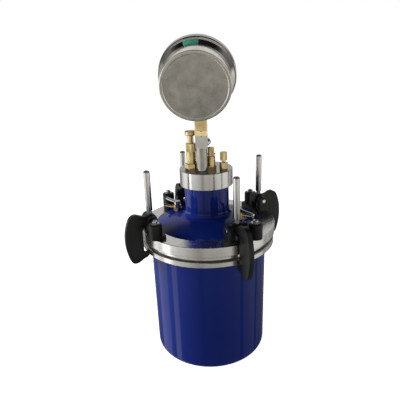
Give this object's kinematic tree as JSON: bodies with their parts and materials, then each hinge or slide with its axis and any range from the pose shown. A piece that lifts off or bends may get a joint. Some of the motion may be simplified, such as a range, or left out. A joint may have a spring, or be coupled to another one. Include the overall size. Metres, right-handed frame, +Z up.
{
  "type": "air entrainment meter",
  "caption": "Free-standing metal pressure pot: round bowl, clamped lid with air chamber, pressure gauge, valves and hand pump.",
  "frame": {"origin": "middle of the bowl's underside, where the pot stands", "axes": "+Z up along the pot's axis; -Y is the side where the gauge's back and its post stand, the dial faces +Y"},
  "size_m": [0.2882, 0.2882, 0.5686],
  "materials": {
    "blue_enamel": "high gloss blue enamel",
    "machined_aluminium": "turned, fine lathe marks",
    "rubber_black": "moulded rubber",
    "chrome": "polished chrome plate",
    "brass": "turned brass",
    "stainless": "spun and satin polished stainless steel",
    "glass": "clear flat glass",
    "dial_white": "matt white printed dial",
    "pointer_black": "matt black",
    "black_iron": "black enamelled casting",
    "steel": "plain steel"
  },
  "bodies": {
    "bowl": {"bowl_shell": "blue_enamel", "bowl_flange": "machined_aluminium"},
    "lid": {"lid_flange": "machined_aluminium", "lid_seal": "rubber_black", "lid_dome": "blue_enamel", "chamber_floor": "machined_aluminium", "chamber_cap": "chrome", "cap_seal": "rubber_black", "gauge_post": "chrome", "post_coupling": "chrome", "gauge_nut": "brass", "gauge_socket": "brass", "gauge_case": "stainless", "gauge_bezel": "stainless", "gauge_glass": "glass", "glass_gasket": "rubber_black", "gauge_dial": "dial_white", "gauge_movement": "brass", "bourdon_tube": "brass", "main_valve_body": "brass", "main_valve_bonnet": "brass", "main_valve_spring": "steel", "bleeder_body": "brass", "thumb_valve_body": "brass", "pump_barrel": "brass", "pump_gland": "chrome", "petcock_bodies": "brass", "clamp_yokes": "black_iron", "clamp_pins": "chrome", "clamp_screws": "chrome"},
    "pointer": {"gauge_pointer": "pointer_black", "pointer_spindle": "steel"},
    "main_valve": {"main_valve_button": "brass", "main_valve_rod": "brass", "main_valve_disc": "rubber_black"},
    "bleeder": {"bleeder_knob": "brass", "bleeder_pin": "brass"},
    "thumb_valve": {"thumb_valve_screw": "brass"},
    "pump": {"pump_knob": "chrome", "pump_rod": "chrome", "pump_piston": "brass", "piston_seal": "rubber_black"},
    "petcock_right": {"petcock_lever_right": "chrome"},
    "petcock_left": {"petcock_lever_left": "chrome"},
    "clamp_front": {"clamp_claw_front": "black_iron", "clamp_rod_front": "chrome"},
    "clamp_left": {"clamp_claw_left": "black_iron", "clamp_rod_left": "chrome"},
    "clamp_rear": {"clamp_claw_rear": "black_iron", "clamp_rod_rear": "chrome"},
    "clamp_right": {"clamp_claw_right": "black_iron", "clamp_rod_right": "chrome"}
  },
  "joints": [
    {"name": "lid_lift", "type": "slide", "parent": "bowl", "child": "lid", "axis": [0, 0, 1], "range_m": [0, 0.019]},
    {"name": "clamp_front_swing", "type": "hinge", "parent": "lid", "child": "clamp_front", "pos_m": [0.04649, -0.09969, 0.272], "axis": [-0.9063, -0.4226, 0], "range_deg": [0, 39]},
    {"name": "clamp_left_swing", "type": "hinge", "parent": "lid", "child": "clamp_left", "pos_m": [-0.09969, -0.04649, 0.272], "axis": [-0.4226, 0.9063, 0], "range_deg": [0, 39]},
    {"name": "clamp_rear_swing", "type": "hinge", "parent": "lid", "child": "clamp_rear", "pos_m": [-0.04649, 0.09969, 0.272], "axis": [0.9063, 0.4226, 0], "range_deg": [0, 39]},
    {"name": "clamp_right_swing", "type": "hinge", "parent": "lid", "child": "clamp_right", "pos_m": [0.09969, 0.04649, 0.272], "axis": [0.4226, -0.9063, 0], "range_deg": [0, 39]},
    {"name": "main_valve_press", "type": "slide", "parent": "lid", "child": "main_valve", "axis": [0, 0, -1], "range_m": [0, 0.006], "stiffness_N_per_m": 600, "springref_m": -0.004, "deforming": ["main_valve_spring"]},
    {"name": "bleeder_turn", "type": "hinge", "parent": "lid", "child": "bleeder", "pos_m": [0.0095, -0.014, 0.38], "axis": [0, 0, 1], "range_deg": [0, 270]},
    {"name": "thumb_valve_turn", "type": "hinge", "parent": "lid", "child": "thumb_valve", "pos_m": [0.0308, -0.0185, 0.37], "axis": [0, 0, 1], "range_deg": [0, 340]},
    {"name": "pump_stroke", "type": "slide", "parent": "lid", "child": "pump", "axis": [0, 0, 1], "range_m": [0, 0.038]},
    {"name": "petcock_right_turn", "type": "hinge", "parent": "lid", "child": "petcock_right", "pos_m": [0.05664, -0.02522, 0.275], "axis": [0, 0, 1], "range_deg": [0, 90]},
    {"name": "petcock_left_turn", "type": "hinge", "parent": "lid", "child": "petcock_left", "pos_m": [-0.05664, 0.02522, 0.275], "axis": [0, 0, 1], "range_deg": [0, 90]},
    {"name": "pointer_sweep", "type": "hinge", "parent": "lid", "child": "pointer", "pos_m": [-0.01264, -0.06397, 0.49037], "axis": [-0.0564, -0.9494, -0.309], "range_deg": [0, 270], "stiffness_Nm_per_rad": 0.01}
  ],
  "couplings": [
    {"joint": "clamp_front_swing", "follows": "lid_lift", "rad_per_m": 35.7},
    {"joint": "clamp_left_swing", "follows": "lid_lift", "rad_per_m": 35.7},
    {"joint": "clamp_rear_swing", "follows": "lid_lift", "rad_per_m": 35.7},
    {"joint": "clamp_right_swing", "follows": "lid_lift", "rad_per_m": 35.7}
  ]
}
